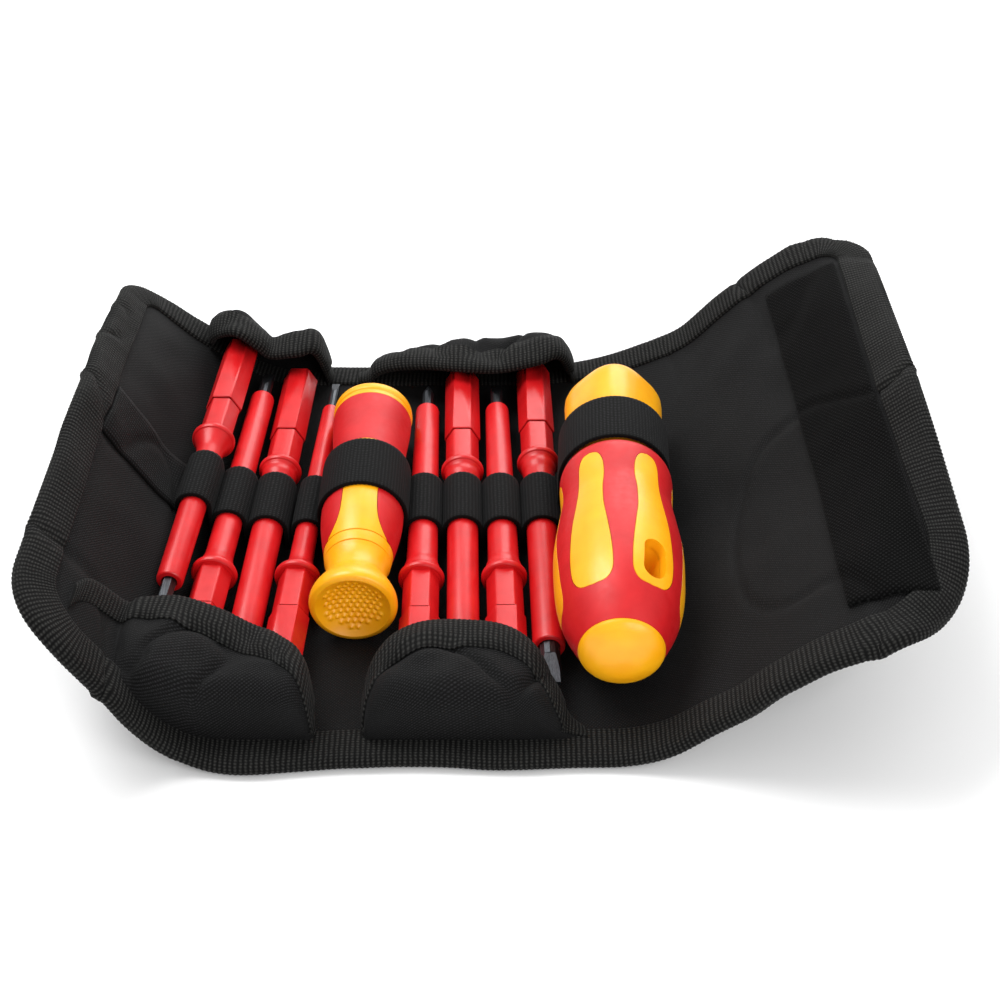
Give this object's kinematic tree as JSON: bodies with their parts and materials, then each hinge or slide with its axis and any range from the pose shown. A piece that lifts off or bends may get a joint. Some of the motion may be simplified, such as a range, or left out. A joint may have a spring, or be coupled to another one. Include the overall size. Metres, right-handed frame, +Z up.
{
  "type": "insulated screwdriver set in a fold-up pouch",
  "caption": "Take-apart insulated screwdriver: a large and a small handle and interchangeable insulated blades, held by elastic loops in a padded fold-up pouch.",
  "frame": {"origin": "centre of the underside of the pouch's flat floor, where it rests on a table", "axes": "+X across the open pouch from the webbing-tail cover to the closure-strip cover, +Y along the tools from the front edge to the back edge, +Z up out of the pouch"},
  "size_m": [0.2272, 0.1747, 0.0573],
  "materials": {
    "black_steel": "black oxide, satin",
    "yellow_handle": "smooth, semi-gloss",
    "red_insulation": "satin moulded",
    "black_nylon": "woven, padded",
    "black_tape": "ribbed tape and elastic webbing"
  },
  "bodies": {
    "pouch": {"pouch_floor": "black_nylon", "front_edge_binding": "black_tape", "back_edge_binding": "black_tape", "hook_strip": "black_tape", "blade_1_loop": "black_tape", "blade_2_loop": "black_tape", "blade_3_loop": "black_tape", "blade_4_loop": "black_tape", "blade_5_loop": "black_tape", "blade_6_loop": "black_tape", "blade_7_loop": "black_tape", "blade_8_loop": "black_tape", "small_handle_loop": "black_tape", "big_handle_loop": "black_tape"},
    "left_cover": {"left_panel": "black_nylon", "left_panel_binding": "black_tape", "webbing_tail": "black_tape"},
    "right_cover": {"right_panel": "black_nylon", "right_panel_binding": "black_tape", "loop_strip": "black_tape"},
    "front_left_hood": {"front_left_flap": "black_nylon", "front_left_flap_binding": "black_tape"},
    "front_centre_hood": {"front_centre_flap": "black_nylon", "front_centre_flap_binding": "black_tape"},
    "back_left_hood": {"back_left_flap": "black_nylon", "back_left_flap_binding": "black_tape"},
    "back_centre_hood": {"back_centre_flap": "black_nylon", "back_centre_flap_binding": "black_tape"},
    "blade_1": {"blade_1_insulation": "red_insulation", "blade_1_rod": "black_steel"},
    "blade_2": {"blade_2_insulation": "red_insulation", "blade_2_rod": "black_steel"},
    "blade_3": {"blade_3_insulation": "red_insulation", "blade_3_rod": "black_steel"},
    "blade_4": {"blade_4_insulation": "red_insulation", "blade_4_rod": "black_steel"},
    "blade_5": {"blade_5_insulation": "red_insulation", "blade_5_rod": "black_steel"},
    "blade_6": {"blade_6_insulation": "red_insulation", "blade_6_rod": "black_steel"},
    "blade_7": {"blade_7_insulation": "red_insulation", "blade_7_rod": "black_steel"},
    "blade_8": {"blade_8_insulation": "red_insulation", "blade_8_rod": "black_steel"},
    "small_handle": {"small_core": "yellow_handle", "small_grip": "red_insulation", "small_socket_sleeve": "black_steel", "small_retaining_clip": "black_steel", "cap_pivot": "black_steel"},
    "small_cap": {"swivel_cap": "yellow_handle"},
    "big_handle": {"big_core": "yellow_handle", "big_grip": "red_insulation", "big_butt_cap": "yellow_handle", "big_socket_sleeve": "black_steel", "big_retaining_clip": "black_steel"}
  },
  "joints": [
    {"name": "left_cover_fold", "type": "hinge", "parent": "pouch", "child": "left_cover", "pos_m": [-0.07995, 0, 0.01908], "axis": [0, 1, 0], "range_deg": [-78, 40]},
    {"name": "right_cover_fold", "type": "hinge", "parent": "pouch", "child": "right_cover", "pos_m": [0.07989, 0, 0.01473], "axis": [0, -1, 0], "range_deg": [-55, 78]},
    {"name": "front_left_hood_hinge", "type": "hinge", "parent": "pouch", "child": "front_left_hood", "pos_m": [0, -0.0859, 0.005], "axis": [1, 0, 0], "range_deg": [0, 100]},
    {"name": "front_centre_hood_hinge", "type": "hinge", "parent": "pouch", "child": "front_centre_hood", "pos_m": [0, -0.0859, 0.005], "axis": [1, 0, 0], "range_deg": [0, 100]},
    {"name": "back_left_hood_hinge", "type": "hinge", "parent": "pouch", "child": "back_left_hood", "pos_m": [0, 0.0859, 0.005], "axis": [-1, 0, 0], "range_deg": [0, 100]},
    {"name": "back_centre_hood_hinge", "type": "hinge", "parent": "pouch", "child": "back_centre_hood", "pos_m": [0, 0.0859, 0.005], "axis": [-1, 0, 0], "range_deg": [0, 100]},
    {"name": "blade_1_slide", "type": "slide", "parent": "pouch", "child": "blade_1", "axis": [0.0454, 0.999, 0], "range_m": [0, 0.0045]},
    {"name": "blade_2_slide", "type": "slide", "parent": "pouch", "child": "blade_2", "axis": [0.0419, 0.9991, 0], "range_m": [0, 0.012]},
    {"name": "blade_3_slide", "type": "slide", "parent": "pouch", "child": "blade_3", "axis": [0.0279, 0.9996, 0], "range_m": [0, 0.008]},
    {"name": "blade_4_slide", "type": "slide", "parent": "pouch", "child": "blade_4", "axis": [0.0332, 0.9995, 0], "range_m": [0, 0.008]},
    {"name": "blade_5_slide", "type": "slide", "parent": "pouch", "child": "blade_5", "axis": [-0.014, 0.9999, 0], "range_m": [0, 0.012]},
    {"name": "blade_6_slide", "type": "slide", "parent": "pouch", "child": "blade_6", "axis": [-0.0209, 0.9998, 0], "range_m": [0, 0.008]},
    {"name": "blade_7_slide", "type": "slide", "parent": "pouch", "child": "blade_7", "axis": [-0.0262, 0.9997, 0], "range_m": [0, 0.012]},
    {"name": "blade_8_slide", "type": "slide", "parent": "pouch", "child": "blade_8", "axis": [-0.0175, 0.9998, 0], "range_m": [0, 0.0045]},
    {"name": "small_handle_slide", "type": "slide", "parent": "pouch", "child": "small_handle", "axis": [0, 1, 0], "range_m": [0, 0.012]},
    {"name": "cap_swivel", "type": "hinge", "parent": "small_handle", "child": "small_cap", "pos_m": [-0.02257, -0.035, 0.015], "axis": [0, 1, 0], "continuous": true},
    {"name": "big_handle_slide", "type": "slide", "parent": "pouch", "child": "big_handle", "axis": [0.0349, 0.9994, 0], "range_m": [-0.036, 0]}
  ]
}
